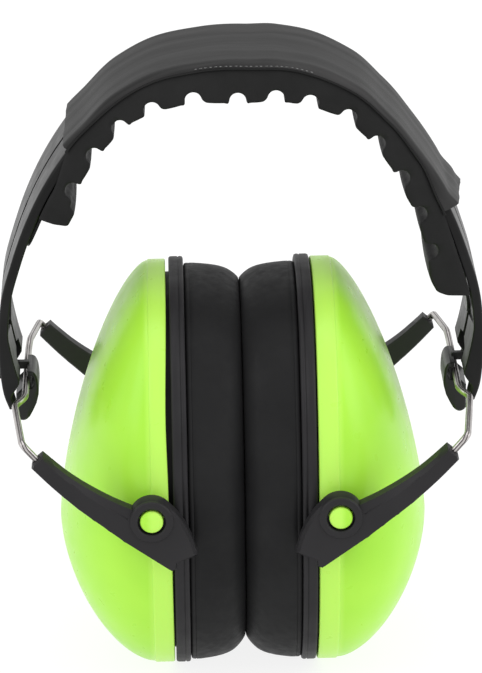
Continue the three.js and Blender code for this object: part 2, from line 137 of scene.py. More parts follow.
# The hooked clip that holds the wire in the leg's slot.
CLIP_HALF_WIDTH = 5.5
CLIP_NECK_X = (46.0, 52.4)
CLIP_NECK_Z = (23.1, 24.8)
CLIP_NECK_HALF_WIDTH = 0.8
CLIP_HEAD_X = (52.2, 53.0)
CLIP_HEAD_Z = (21.6, 26.3)
CLIP_HEAD_HALF_WIDTH = 2.6
MAX_BEVEL_DEPTH = 0.35

# Headband channel and the arch it follows: the outer face, from crown to tip.
BAND_PROFILE = [
    (0, 94.8), (13, 93.1), (24, 88.6), (32, 81.7), (37.6, 74.8), (42.3, 67.3), (46.1, 59.2),
    (49.1, 50.7), (51.1, 43.5), (51.9, 36), (51.9, 28.5), (51.3, 22.5), (50.1, 18.7),
]
ARCH_CENTRE_Z = 44.6
BAND_HALF_WIDTH = 14
BAND_WEB = 1.8
FLANGE_THICKNESS = 1.8
FLANGE_DEPTH = 2.1
# Below RAIL_TOP_Z the legs thicken towards their ends, but for a recess the clip slides in.
RAIL_TOP_Z = 35.2
RAIL_DEEPENING = 0.173
RAIL_END_Z = 21.2
RAIL_END_DEPTH = 1.4
RECESS_HALF_WIDTH = 6
RECESS_TOP_Z = 28
FLANGE_END_Z = 24.4
FLANGE_TIP_X = 49.95
TIP_Z = 18.7
NOTCH_TOP_Z = 27.6
NOTCH_HALF_WIDTH = 8
SLOT_HALF_WIDTH = 1.1
SLOT_TOP_Z = 62
GROOVE_TOP_Z = 84
GROOVE_DEPTH = 0.7

# Head pad: polar angles in degrees about the arch's centre, offsets inward from the band.
BASE_ANGLES = (-10, 170)
BASE_OFFSETS = (2.4, 3.1)
BASE_HALF_WIDTH = 12.6
BASE_TONGUE = 11.0
PAD_ANGLES = (0, 158.6)
PAD_HALF_WIDTH = 14.7
PAD_OUTER_OFFSET = 3.35
# The corners of the pad's two end faces, in x and z.
PAD_RIGHT_END = ((40.8, 45.7), (41.8, 43.8), (43.5, 43.1))
PAD_LEFT_END = ((-34.8, 63.0), (-36.3, 60.2), (-38.6, 60.6))
PAD_LAST_LOBE_END = 150.8
# How far inside the band's outer face the pad's sides reach near its ends.
PAD_SIDE_OFFSET = 2.15
PAD_INNER_RADII = (41.8, 43.4, 44.3, 42.6, 41.0, 40.5, 40.5)
PAD_RADII_STEP = 15
PAD_NOTCHES = (11.7, 23.7, 35.8, 48.1, 58.9, 70.0, 79.4, 90.0, 102.3, 113.8, 123.8, 134.3, 146.1)
PAD_NOTCH_RADIUS = 1.75
PAD_NOTCH_DEPTH = 2.5
COVER_THICKNESS = 0.7
COVER_TURN = 2.0
STITCH_ANGLES = (72, 100)
STITCH_PITCH = 1.05
STITCH_LENGTH = 0.62
# The cover's ends, as polar angles at its front and back edges.
COVER_RIGHT_END = (22.0, 17.0)
COVER_LEFT_END = (137.6, 136.6)
# How far the cover's top stands outside the band, and how far its hem lies inside, by angle.
COVER_RISE = ((16, 3.0), (20, 2.2), (26, 1.15), (40, 0.95), (51, 1.2), (61, 1.7), (72, 2.1),
              (80, 1.9), (88, 1.3), (98, 1.4), (110, 1.8), (120, 1.5), (131, 1.1), (138, 1.5))
HEM_OFFSET = ((16, 1.4), (25, 1.2), (37, 0.1), (50, -0.3), (61, -0.5), (76, -0.7), (88, 0.1),
              (100, -0.2), (110, -0.6), (123, -0.2), (138, -0.5))

BODY_OF_SIDE = {"left": -1, "right": 1}


# ---------------------------------------------------------------- points and faces

def lathe_sections(rings, wrap=False):
    """Faces over closed rings of equal counts. Both ends are closed, unless the rings wrap round."""
    count = len(rings[0])
    points = np.concatenate([np.asarray(ring, float) for ring in rings])
    faces = []
    for r in range(len(rings) if wrap else len(rings) - 1):
        low, high = r * count, ((r + 1) % len(rings)) * count
        for i in range(count):
            j = (i + 1) % count
            faces.append((low + i, low + j, high + j, high + i))
    if not wrap:
        faces.append(tuple(reversed(range(count))))
        faces.append(tuple(range(len(points) - count, len(points))))
    return points, faces


def grid(rows):
    """Faces over open rows of equal counts."""
    count = len(rows[0])
    points = np.concatenate([np.asarray(row, float) for row in rows])
    faces = []
    for r in range(len(rows) - 1):
        for i in range(count - 1):
            a = r * count + i
            faces.append((a, a + 1, a + count + 1, a + count))
    return points, faces


def combined(*shapes):
    points, faces, start = [], [], 0
    for shape_points, shape_faces in shapes:
        points.append(shape_points)
        faces += [tuple(v + start for v in face) for face in shape_faces]
        start += len(shape_points)
    return np.concatenate(points), faces


def mirrored(shape, axis):
    points, faces = shape
    flipped = points.copy()
    flipped[:, axis] *= -1
    return flipped, [tuple(reversed(face)) for face in faces]


def smooth_between(table, value):
    """A value read from a given table of (place, value), with smooth turns."""
    places = [p for p, _ in table]
    values = [v for _, v in table]
    value = min(max(value, places[0]), places[-1])
    i = min(int(np.searchsorted(places, value, side="right")) - 1, len(places) - 2)
    share = (value - places[i]) / (places[i + 1] - places[i])
    share = share * share * (3 - 2 * share)
    return values[i] + (values[i + 1] - values[i]) * share


def run_lengths(points):
    """The length along a line from its start to each of its points."""
    return np.concatenate(([0], np.cumsum(np.linalg.norm(np.diff(points, axis=0), axis=1))))


def point_at(place, lengths, points):
    """The point in x and z at a length along a line."""
    return np.array([np.interp(place, lengths, points[:, k]) for k in (0, 1)])


def weld(obj):
    """Joins points that coincide, and turns every face outward."""
    bm = bmesh.new()
    bm.from_mesh(obj.data)
    bmesh.ops.remove_doubles(bm, verts=bm.verts, dist=WELD_DISTANCE * MM)
    bmesh.ops.dissolve_degenerate(bm, edges=bm.edges, dist=WELD_DISTANCE * MM)
    bmesh.ops.recalc_face_normals(bm, faces=bm.faces)
    bm.to_mesh(obj.data)
    bm.free()


def mesh_object(name, shape):
    points, faces = shape
    lifted = (points + np.array((0, 0, LIFT))) * MM
    mesh = bpy.data.meshes.new(name)
    mesh.from_pydata(lifted.tolist(), [], faces)
    obj = bpy.data.objects.new(name, mesh)
    bpy.context.scene.collection.objects.link(obj)
    weld(obj)
    return obj


def add_piece(name, shape, look, body, nodes=(), bevel=0, smooth=40):
    """A finished piece of the object: its mesh, its rounded edges, its look and its body."""
    obj = mesh_object(name, shape)
    obj.data.materials.append(look)
    soften(obj, bevel, smooth)
    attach(obj, body)
    if nodes:
        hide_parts(*nodes)
    return obj


def soften(obj, bevel, smooth):
    obj.data.shade_smooth()
    obj.data.set_sharp_from_angle(angle=math.radians(smooth))
    if bevel:
        edge = obj.modifiers.new("edge", "BEVEL")
        edge.width = bevel * MM
        edge.segments = 3
        edge.limit_method = "ANGLE"
        edge.angle_limit = math.radians(smooth)
        edge.harden_normals = True


def join_or_cut(obj, operation, shape):
    """Joins a shape's solid onto obj with UNION, or takes it out with DIFFERENCE."""
    other = mesh_object("tool", shape)
    tool = obj.modifiers.new("tool", "BOOLEAN")
    tool.operation, tool.solver, tool.object = operation, "EXACT", other
    bpy.context.view_layer.update()
    evaluated = obj.evaluated_get(bpy.context.evaluated_depsgraph_get())
    result = bpy.data.meshes.new_from_object(evaluated)
    obj.modifiers.remove(tool)
    obj.data = result
    bpy.data.objects.remove(other)


# ---------------------------------------------------------------- looks

def rgb(red, green, blue):
    """A linear colour with full alpha."""
    return (red, green, blue, 1.0)


def grey(level):
    return rgb(level, level, level)


class Look:
    """A principled material. Its patterns lie in the object's own coordinates, in metres."""

    def __init__(self, name, **sockets):
        self.material = bpy.data.materials.new(name)
        self.material.use_nodes = True
        self.tree = self.material.node_tree
        self.shader = self.tree.nodes["Principled BSDF"]
        for key, value in sockets.items():
            self.shader.inputs[key.replace("_", " ")].default_value = value
        self.place = self.node("ShaderNodeTexCoord").outputs["Object"]

    def node(self, kind, inputs=None, **settings):
        """A shader node, with its inputs set to numbers or linked to other nodes' outputs."""
        node = self.tree.nodes.new(kind)
        for key, value in settings.items():
            setattr(node, key, value)
        for key, value in (inputs or {}).items():
            if isinstance(value, bpy.types.NodeSocket):
                self.tree.links.new(value, node.inputs[key])
            else:
                node.inputs[key].default_value = value
        return node

    def maths(self, operation, *values):
        return self.node("ShaderNodeMath", dict(enumerate(values)), operation=operation).outputs[0]

    def noise(self, scale, detail=3, roughness=0.5, place=None):
        vector = self.place if place is None else place
        inputs = {"Vector": vector, "Scale": scale, "Detail": detail, "Roughness": roughness}
        return self.node("ShaderNodeTexNoise", inputs).outputs["Fac"]

    def spread(self, value, low, high, start=0.3, end=0.7):
        """A value between low and high, as the input goes from start to end."""
        inputs = {"Value": value, "From Min": start, "From Max": end, "To Min": low, "To Max": high}
        return self.node("ShaderNodeMapRange", inputs).outputs["Result"]

    def blend(self, share, first, second):
        return self.node("ShaderNodeMix", {0: share, 6: first, 7: second}, data_type="RGBA").outputs[2]

    def drift(self, scale, detail, dark, light):
        """A colour that drifts slowly between two shades."""
        return self.blend(self.spread(self.noise(scale, detail), 0, 1), dark, light)

    def creases(self, scale):
        """Fine creases between small cells: 0 along a crease, and 1 on the cells."""
        inputs = {"Vector": self.place, "Scale": scale, "Randomness": 0.9}
        cells = self.node("ShaderNodeTexVoronoi", inputs, feature="DISTANCE_TO_EDGE")
        return self.spread(cells.outputs["Distance"], 0, 1, 0, 0.22)

    def bump(self, height, distance, strength, under=None):
        inputs = {"Height": height, "Distance": distance * MM, "Strength": strength}
        if under is not None:
            inputs["Normal"] = under
        return self.node("ShaderNodeBump", inputs).outputs["Normal"]

    def finish(self, **outputs):
        """Links each output to the shader's input of that name."""
        for key, value in outputs.items():
            self.tree.links.new(value, self.shader.inputs[key.replace("_", " ")])
        return self.material


def moulded_plastic(name, dark, light, roughness, grain, specular):
    """Moulded plastic: a fine moulded grain, slow colour drift and faintly paler sharp edges."""
    look = Look(name, Specular_IOR_Level=specular)
    edges = look.node("ShaderNodeNewGeometry").outputs["Pointiness"]
    # Sharp convex edges, found by their pointiness, are mixed towards a paler colour.
    pale_edge_share = look.spread(edges, 0, 0.35, 0.52, 0.62)
    pale_edge_colour = rgb(*(min(1, 1.6 * part + 0.01) for part in light[:3]))
    waved = look.bump(look.noise(160, 2), 0.08, 0.35)
    return look.finish(
        Base_Color=look.blend(pale_edge_share, look.drift(90, 2, dark, light), pale_edge_colour),
        Roughness=look.spread(look.noise(240, 4, 0.65), roughness * 0.85, roughness * 1.18),
        Normal=look.bump(look.noise(3600, 2), grain, 0.6, waved))


def lime_plastic():
    """Glossy lime moulding with a faint orange peel, and a painted lighter tone on the straight wall by the
    rim, where the light falls on it.
    """
    look = Look("lime_plastic", Specular_IOR_Level=0.26, Coat_Weight=0.06, Coat_Roughness=0.12,
                Subsurface_Weight=0.05, Subsurface_Scale=0.0015)
    dome = look.drift(45, 2, rgb(0.365, 0.765, 0.047), rgb(0.425, 0.835, 0.064))
    across = look.node("ShaderNodeSeparateXYZ", {"Vector": look.place}).outputs["X"]
    # The straight wall by the rim gets a painted lighter tone where the light falls on it; the dome keeps the
    # drifting lime.
    away_from_painted_light_wall = look.spread(look.maths("ABSOLUTE", across), 0, 1, (CREASE_X - 0.3) * MM, (CREASE_X + 0.9) * MM)
    return look.finish(Base_Color=look.blend(away_from_painted_light_wall, rgb(0.49, 0.87, 0.11), dome),
                       Roughness=look.spread(look.noise(300), 0.27, 0.36),
                       Normal=look.bump(look.noise(420, 2), 0.012, 0.4))


def leatherette(name, dark, light, roughness, cell, specular):
    """Skin-grained vinyl: small raised cells, of a size in millimetres, with creases between them."""
    look = Look(name, Specular_IOR_Level=specular)
    soft = look.bump(look.noise(90, 2), 0.05, 0.25)
    return look.finish(
        Base_Color=look.drift(70, 3, dark, light),
        Roughness=look.spread(look.noise(500, 4, 0.6), roughness * 0.85, roughness * 1.15),
        Normal=look.bump(look.creases(1000 / cell), 0.008, 0.6, soft))


def streaked_leatherette():
    """The cover's vinyl: soft lighter streaks along the band, painted as sheen on its raised ridges, over a
    fine skin grain.
    """
    look = Look("cover_leatherette", Specular_IOR_Level=0.18)
    along = look.node("ShaderNodeMapping", {"Vector": look.place, "Scale": (0.09, 1, 0.09)})
    streaks = look.noise(210, 3, 0.6, along.outputs["Vector"])
    # The raised ridges are painted paler, as sheen where the light catches them.
    painted_sheen_share = look.spread(streaks, 0, 1, 0.44, 0.72)
    ridges = look.bump(streaks, 0.16, 0.5)
    return look.finish(Base_Color=look.blend(painted_sheen_share, grey(0.012), rgb(0.048, 0.047, 0.047)),
                       Roughness=look.spread(streaks, 0.42, 0.6),
                       Normal=look.bump(look.creases(2400), 0.01, 0.6, ridges))


def stitch_thread():
    """Pale grey thread, with the twist of its strands."""
    look = Look("stitch_thread", Specular_IOR_Level=0.2, Roughness=0.7)
    twist = look.node("ShaderNodeTexWave", {"Vector": look.place, "Scale": 900, "Distortion": 1.0},
                      bands_direction="DIAGONAL").outputs["Fac"]
    return look.finish(Base_Color=look.blend(twist, grey(0.07), grey(0.19)),
                       Normal=look.bump(twist, 0.03, 0.8))


def steel_wire():
    """Bright drawn steel, with painted dark reflections: lines along the wire, and its underside."""
    look = Look("steel_wire", Metallic=1.0)
    bright = look.drift(260, 3, rgb(0.45, 0.43, 0.42), rgb(0.60, 0.57, 0.56))
    normal = look.node("ShaderNodeNewGeometry").outputs["Normal"]
    parts = look.node("ShaderNodeSeparateXYZ", {"Vector": normal}).outputs
    # Painted dark reflection: a dark line along each side of the wire, picked out by the normal.
    painted_dark_line = look.maths("COMPARE", look.maths("ABSOLUTE", parts["X"]), 0.32, 0.13)
    with_painted_dark_lines = look.blend(painted_dark_line, bright, rgb(0.10, 0.09, 0.09))
    # The underside is painted dark as a reflection.
    away_from_painted_dark_underside = look.spread(parts["Z"], 0, 1, -0.75, -0.15)
    return look.finish(Base_Color=look.blend(away_from_painted_dark_underside, rgb(0.07, 0.065, 0.065), with_painted_dark_lines),
                       Roughness=look.spread(look.noise(1500), 0.34, 0.46),
                       Normal=look.bump(look.noise(2400), 0.006, 0.4))


def open_foam():
    """Open-cell foam: pits in a soft grey body, darkened with painted shade."""
    look = Look("liner_foam", Specular_IOR_Level=0.15)
    cells = look.node("ShaderNodeTexVoronoi", {"Vector": look.place, "Scale": 1150, "Randomness": 1.0},
                      feature="F1").outputs["Distance"]
    # The pits shape the bump, and their hollows are darkened in the colour as painted shade.
    pit_shape_and_painted_shade = look.spread(cells, 0, 1, 0.1, 0.75)
    return look.finish(Base_Color=look.blend(pit_shape_and_painted_shade, rgb(0.008, 0.008, 0.01), rgb(0.075, 0.08, 0.088)),
                       Roughness=look.spread(look.noise(900, 2), 0.85, 1.0),
                       Normal=look.bump(pit_shape_and_painted_shade, 0.5, 1.0))


def woven_cloth():
    """Thin woven cloth in front of the foam: crossing threads."""
    look = Look("liner_cloth", Specular_IOR_Level=0.15, Sheen_Weight=0.2)
    thread = {"Vector": look.place, "Scale": 330, "Distortion": 0.6, "Detail": 1, "Detail Scale": 3}
    waves = [look.node("ShaderNodeTexWave", thread, bands_direction=way).outputs["Fac"] for way in "YZ"]
    crossed = look.maths("MULTIPLY", *waves)
    return look.finish(Base_Color=look.blend(crossed, rgb(0.006, 0.006, 0.007), rgb(0.035, 0.035, 0.038)),
                       Roughness=look.spread(crossed, 0.95, 0.8, 0, 1),
                       Normal=look.bump(crossed, 0.15, 0.9))


band_look = moulded_plastic("band_plastic", grey(0.010), grey(0.016), 0.34, 0.006, 0.10)
arm_look = moulded_plastic("arm_plastic", rgb(0.0125, 0.012, 0.013), rgb(0.018, 0.0172, 0.0185),
                           0.42, 0.012, 0.13)
clip_look = moulded_plastic("clip_plastic", grey(0.012), grey(0.018), 0.34, 0.008, 0.25)
rim_look = moulded_plastic("rim_plastic", rgb(0.0125, 0.0118, 0.013), rgb(0.0185, 0.0178, 0.0195),
                           0.5, 0.018, 0.2)
lime_look = lime_plastic()
cover_look = streaked_leatherette()
thread_look = stitch_thread()
pad_look = leatherette("pad_skin", grey(0.011), grey(0.0155), 0.6, 0.30, 0.14)
cushion_look = leatherette("cushion_skin", rgb(0.011, 0.011, 0.0115), rgb(0.015, 0.015, 0.0155),
                           0.55, 0.34, 0.12)
wire_look = steel_wire()
foam_look = open_foam()
cloth_look = woven_cloth()


# ---------------------------------------------------------------- one ear cup, at +X

def oval(x, half_depth, top, bottom, middle=CUP_MIDDLE_Z):
    """One ring of the cup's oval. Its widest line is at z = middle, and it goes no lower than the floor."""
    angle = (np.arange(RING_COUNT) + 0.5) / RING_COUNT * 2 * math.pi
    across, up = np.cos(angle), np.sin(angle)
    y = half_depth * np.sign(across) * np.abs(across) ** (2 / OVAL_POWER)
    reach = np.where(up > 0, top - middle, middle - bottom)
    z = middle + reach * np.sign(up) * np.abs(up) ** (2 / OVAL_POWER)
    return np.column_stack((np.full(RING_COUNT, float(x)), y, np.maximum(z, -LIFT)))


def level_oval(x, half_height, half_depth):
    return oval(x, half_depth, CUP_MIDDLE_Z + half_height, CUP_MIDDLE_Z - half_height)


def ovals(half, profile, sign=1):
    """Level rings from (x, change): the half sizes grow by the change, or shrink by it with sign -1."""
    return [level_oval(x, half[0] + sign * change, half[1] + sign * change) for x, change in profile]


def dome_rings(start_x, inset, end_x, steps, lip=0.0, crease=True):
    """The shell's form from its rim to its deepest point, or the form of what lies inside."""
    depth = CREASE_DEPTH if crease else 0
    wall = [(start_x, lip), (start_x + lip * 0.3, lip * 0.3), (start_x + lip, 0)]
    if crease:
        wall += [(CREASE_X - 0.55, 0), (CREASE_X - 0.35, depth * 0.35), (CREASE_X - 0.2, depth)]
    wall.append((CREASE_X, depth))
    rings = []
    for x, extra in wall:
        rings.append(oval(x, SHELL_HALF_DEPTH - inset - extra, SHELL_TOP - inset - extra,
                          SHELL_BOTTOM + inset + extra))
    for i in range(1, steps + 1):
        out = min(math.sin(i / steps * math.pi / 2), 0.9996)
        x = CREASE_X + (DOME_X - inset - CREASE_X) * out
        if x > end_x:
            break
        shrink = {side: (1 - out ** power) ** (1 / power) for side, power in DOME_POWERS.items()}
        top = DOME_CENTRE_Z + (SHELL_TOP - inset - depth - DOME_CENTRE_Z) * shrink["top"]
        bottom = DOME_CENTRE_Z + (SHELL_BOTTOM + inset + depth - DOME_CENTRE_Z) * shrink["bottom"]
        middle = CUP_MIDDLE_Z + (DOME_CENTRE_Z - CUP_MIDDLE_Z) * out ** DOME_POWERS["middle"]
        rings.append(oval(x, (SHELL_HALF_DEPTH - inset - depth) * shrink["side"], top, bottom, middle))
    return rings


def turned(profile, count=64):
    """A solid turned about the pivot's axis, from its profile of (y, radius)."""
    angle = np.arange(count) / count * 2 * math.pi
    rings = []
    for y, radius in profile:
        rings.append(np.column_stack((PIVOT[0] + radius * np.cos(angle), np.full(count, float(y)),
                                      PIVOT[1] + radius * np.sin(angle))))
    return lathe_sections(rings)


def cup_shell():
    """The lime shell with a round boss on its front and back."""
    outer = dome_rings(SHELL_START_X, 0, DOME_X, 44, lip=0.35)
    inner = dome_rings(SHELL_START_X, SHELL_WALL, DOME_X, 24, crease=False)
    bosses = [turned([(side * y, radius) for y, radius in BOSS_PROFILE], 48) for side in (1, -1)]
    return combined(lathe_sections(inner[::-1] + outer), *bosses)


def ajar_shell():
    """The same shell with its rim's edge drawn back from the rim plate."""
    points, faces = cup_shell()
    near_rim = np.clip((SHELL_START_X + 2.0 - points[:, 0]) / 2.0, 0, 1)
    points[:, 0] += near_rim * np.array([smooth_between(SHELL_GAP, z) for z in points[:, 2]])
    return points, faces


def cup_rim_plate():
    """The ring that the shell closes on: a fine groove round its edge, and a rib inside the shell."""
    low, high = RIM_X
    outside = [
        (low, 5.0), (low, 0.6), (low + 0.12, 0.18), (low + 0.5, 0.0), (low + 0.95, 0.0), (low + 1.05, 0.16),
        (low + 1.2, 0.16), (low + 1.3, 0.0), (high - 0.5, 0.0), (high - 0.12, 0.16), (high, 0.55),
    ]
    rings = ovals(OPENING, [(low, 0.4)]) + ovals(RIM_HALF, outside, -1)
    rings += ovals(RIB_HALF, [(high, 0), (RIB_TOP_X, 0.1), (RIB_TOP_X, 1.3), (high, 1.4)], -1)
    rings += ovals(OPENING, [(high, 0.4), (high - 0.4, 0), (low + 0.4, 0)])
    return lathe_sections(rings, wrap=True)


def ear_cushion():
    """A soft annular pad: nearly straight outer walls that round over to the face it meets."""
    low, high = CUSHION_X
    outer_height = CUSHION_HALF[0]
    inner_half = (OPENING[0] - 1, OPENING[1] - 1)
    outside = [
        (high, 0.9), (high - 0.15, 0.28), (high - 0.5, 0.05), (high - 1.0, 0.02), (high - 1.12, 0.14),
        (high - 1.24, 0.02), (high - 2.2, 0.04), (8, 0.26), (6.5, 0.5), (5, 0.86), (4, 1.2), (3.2, 1.58),
        (2.5, 2.02), (1.9, 2.55), (1.35, 3.1), (0.85, 3.7), (0.4, 4.35), (0.12, 4.9), (low, 5.5),
    ]
    pocket_x = BACKING_X[0] - 0.3
    inside = [
        (low, 4.4), (low + 0.2, 3.2), (low + 0.8, 1.9), (low + 1.8, 0.9), (low + 3.2, 0.25),
        (low + 5.0, 0.0), (high - 3.6, 0.0), (high - 2.4, 0.3), (pocket_x, 1.6),
    ]
    rings = ovals(CUSHION_HALF, outside, -1)
    for ring, (_, inset) in zip(rings, outside):
        above = ring[:, 2] > CUP_MIDDLE_Z
        stretched = (outer_height - CUSHION_TOP_SHARE * inset) / (outer_height - inset)
        ring[above, 2] = CUP_MIDDLE_Z + (ring[above, 2] - CUP_MIDDLE_Z) * stretched
        ring[:, 2] -= CUSHION_DROP
    rings += ovals(inner_half, inside)
    rings += ovals(BACKING_HALF, [(pocket_x, 0.1), (pocket_x + 0.5, 0.3), (high, 0.3)])
    return lathe_sections(rings, wrap=True)


def cushion_backing_plate():
    """The flat ring in the cushion's back, with a shallow groove round its opening."""
    low, high = BACKING_X
    rings = ovals(BACKING_HALF, [(low, 0.4), (low + 0.3, 0), (high - 0.3, 0), (high, 0.4)], -1)
    rings += ovals(OPENING, [(high, 3.5), (high - 0.35, 2.6), (high - 0.35, 1.2), (high, 0.4),
                             (high - 0.4, 0), (low + 0.4, 0), (low, 0.4)])
    return lathe_sections(rings, wrap=True)


def sound_liner():
    return lathe_sections(dome_rings(LINER_X[0], LINER_INSET, LINER_X[1], 30, lip=0.5, crease=False))


def liner_cover():
    """The cloth in front of the foam. It sags a little towards the foam between its edges."""
    low, high = LINER_COVER_X
    half_height = (SHELL_TOP - SHELL_BOTTOM) / 2 - LINER_INSET
    half_depth = SHELL_HALF_DEPTH - LINER_INSET
    rings = [level_oval(low + 0.3 * (1 - share**2), half_height * share, half_depth * share)
             for share in np.linspace(0.02, 0.98, 24)]
    rings += [level_oval(x, half_height, half_depth) for x in (low + 0.15, high)]
    return lathe_sections(rings)


# ---------------------------------------------------------------- yoke arms, wire and clip, at +X

def bezier(points, steps, whole=False):
    """A quadratic curve through its first and last points. The last is left out unless it is whole."""
    a, b, c = (np.array(p, float) for p in points)
    places = np.arange(steps + 1 if whole else steps) / steps
    return [tuple((1 - t) ** 2 * a + 2 * t * (1 - t) * b + t * t * c) for t in places]


def bend(before, corner, after, reach, steps, whole=False):
    """A short curve in place of a corner, which starts and ends at a reach from it."""
    corner = np.array(corner, float)
    start, end = (corner + (other - corner) / np.linalg.norm(other - corner) * reach
                  for other in (before, after))
    return bezier([start, corner, end], steps, whole)


def catmull(points, steps):
    """Centripetal Catmull-Rom curve through the points, with the given steps a stretch."""
    p = [np.array(q, float) for q in points]
    p = [2 * p[0] - p[1]] + p + [2 * p[-1] - p[-2]]
    made = []
    for i in range(1, len(p) - 2):
        knots = [0.0]
        for j in range(3):
            knots.append(knots[-1] + np.linalg.norm(p[i + j] - p[i + j - 1]) ** 0.5)
        for t in np.linspace(knots[1], knots[2], steps, endpoint=False):
            q = p[i - 1:i + 3]
            for level in range(1, 4):
                spans = [(knots[j], knots[j + level]) for j in range(4 - level)]
                q = [((end - t) * q[j] + (t - start) * q[j + 1]) / (end - start)
                     for j, (start, end) in enumerate(spans)]
            made.append(q[0])
    made.append(p[-2])
    return np.array(made)


def arm_outline():
    """The arm's outline about the pivot, with for each point the width of its front chamfer."""
    upper = catmull([*ARM_UPPER_EDGE, ARM_END_TOP], 6)
    chamfers = np.interp(upper[:, 0], *zip(*ARM_CHAMFERS))
    outline = list(zip(upper[:-1], chamfers))
    outline += [(p, 0.3) for p in np.linspace(ARM_END_TOP, ARM_END_BOTTOM, 4, endpoint=False)]
    # The lower edge steps in by a small scallop at equal stations.
    edge = catmull([ARM_END_BOTTOM, *ARM_LOWER_EDGE], 12)
    lengths = run_lengths(edge)
    stations = [(0.6, 0.0)]
    for i in range(SCALLOPS):
        stations += [(SCALLOP_START + i * SCALLOP_PITCH + along, step) for along, step in SCALLOP]
    stations.append((lengths[-1] - 0.1, 0.0))
    for place, step in stations:
        x, z = point_at(place, lengths, edge)
        ahead = point_at(place + 0.2, lengths, edge) - (x, z)
        ahead /= max(np.linalg.norm(ahead), 1e-6)
        outline.append(((x + ahead[1] * step, z + ahead[0] * step), 0.35))
    tail = [ARM_LOWER_EDGE[-1], *ARM_TAIL, ARM_HEEL]
    for corners in zip(tail, tail[1:], tail[2:]):
        outline += [(p, 0.35) for p in bend(*corners, 0.28, 4)]
    outline += [(p, 0.6) for p in bezier(ARM_BACK, 12)]
    angles = np.linspace(math.pi * 0.75, math.pi * 0.175, 18)
    outline += [((ARM_HEAD_RADIUS * math.cos(a), ARM_HEAD_RADIUS * math.sin(a)), 0.45) for a in angles]
    return outline


def inward_normals(points):
    """The unit normals of a closed outline, turned to its inside."""
    after, before = np.roll(points, -1, axis=0), np.roll(points, 1, axis=0)
    tangent = sum(step / np.linalg.norm(step, axis=1)[:, None] for step in (after - points, points - before))
    tangent /= np.linalg.norm(tangent, axis=1)[:, None]
    normal = np.column_stack((-tangent[:, 1], tangent[:, 0]))
    area = np.sum(points[:, 0] * after[:, 1] - after[:, 0] * points[:, 1])
    return normal if area > 0 else -normal


def at_y(outline, y):
    """An outline in x and z, as points at one y."""
    return np.column_stack((outline[:, 0], np.full(len(outline), float(y)), outline[:, 1]))


def yoke_arm():
    """The front arm as an object, with its collar joined on and its eye, wire hole and groove cut."""
    outline = arm_outline()
    points = np.array([p for p, _ in outline]) + PIVOT
    chamfer = np.array([[width] for _, width in outline])
    inward = inward_normals(points)
    inner_y, outer_y = -ARM_Y[0], -ARM_Y[1]
    arm = lathe_sections([
        at_y(points + inward * 0.3, inner_y), at_y(points, inner_y - 0.3),
        at_y(points, outer_y + 0.95), at_y(points + inward * chamfer, outer_y),
    ])
    eye = turned([(-30, EYE_RADIUS), (-50, EYE_RADIUS)])
    shadow_ring = turned([(-41.2, BOSS_RING_RADIUS), (-50, BOSS_RING_RADIUS)])
    obj = mesh_object("arm", arm)
    join_or_cut(obj, "UNION", turned(ARM_COLLAR))
    for shape in (eye, shadow_ring, wire_hole(), arm_groove()):
        join_or_cut(obj, "DIFFERENCE", shape)
    return obj


def wire_entry(depth):
    """The point on the wire hole's centre line at a depth below the front arm's end face."""
    top, bottom = np.array(ARM_END_TOP), np.array(ARM_END_BOTTOM)
    middle = (top + bottom) / 2
    across = (bottom - top) / np.linalg.norm(bottom - top)
    x = PIVOT[0] + middle[0] + across[1] * depth
    z = PIVOT[1] + middle[1] - across[0] * depth
    return np.array((x, -WIRE_Y, z))


def tube(path, radius, count=16):
    """A round tube along a path, carried without twist, of one radius or one for each point."""
    path = np.asarray(path, float)
    tangents = np.gradient(path, axis=0)
    tangents /= np.linalg.norm(tangents, axis=1)[:, None]
    side = np.cross(tangents[0], (0.3, 0.2, 1.0))
    side /= np.linalg.norm(side)
    radii = np.broadcast_to(radius, (len(path),))
    angle = np.arange(count) / count * 2 * math.pi
    rings = []
    for point, tangent, r in zip(path, tangents, radii):
        side = side - tangent * np.dot(side, tangent)
        side /= np.linalg.norm(side)
        other = np.cross(tangent, side)
        rings.append(point + r * (np.cos(angle)[:, None] * side + np.sin(angle)[:, None] * other))
    return lathe_sections(rings)


def wire_hole():
    return tube([wire_entry(-6), wire_entry(0), wire_entry(6)], WIRE_HOLE_RADIUS, 20)


def arm_groove():
    """A fine moulded groove on the arm's face, from beside the head towards the end."""
    return tube(at_y(catmull(ARM_GROOVE, 6) + PIVOT, -ARM_Y[1] - 0.02), 0.2, 8)


def eased_path(corners):
    """Straight runs between corners, with each inner corner eased into a short bend."""
    path = [corners[0]]
    for before, corner, after in zip(corners, corners[1:], corners[2:]):
        path += bend(before, corner, after, BEND_REACH, 8, whole=True)
    return np.array([*path, corners[-1]])


def wire_bail():
    flip = np.array((1, -1, 1))
    front = [*WIRE_BENDS_FRONT, wire_entry(-WIRE_OUT_FRONT), wire_entry(5)]
    back = [*WIRE_BENDS_BACK, wire_entry(-WIRE_OUT_BACK) * flip, wire_entry(5) * flip]
    return tube(catmull(eased_path(front[::-1] + back), 3), WIRE_RADIUS)


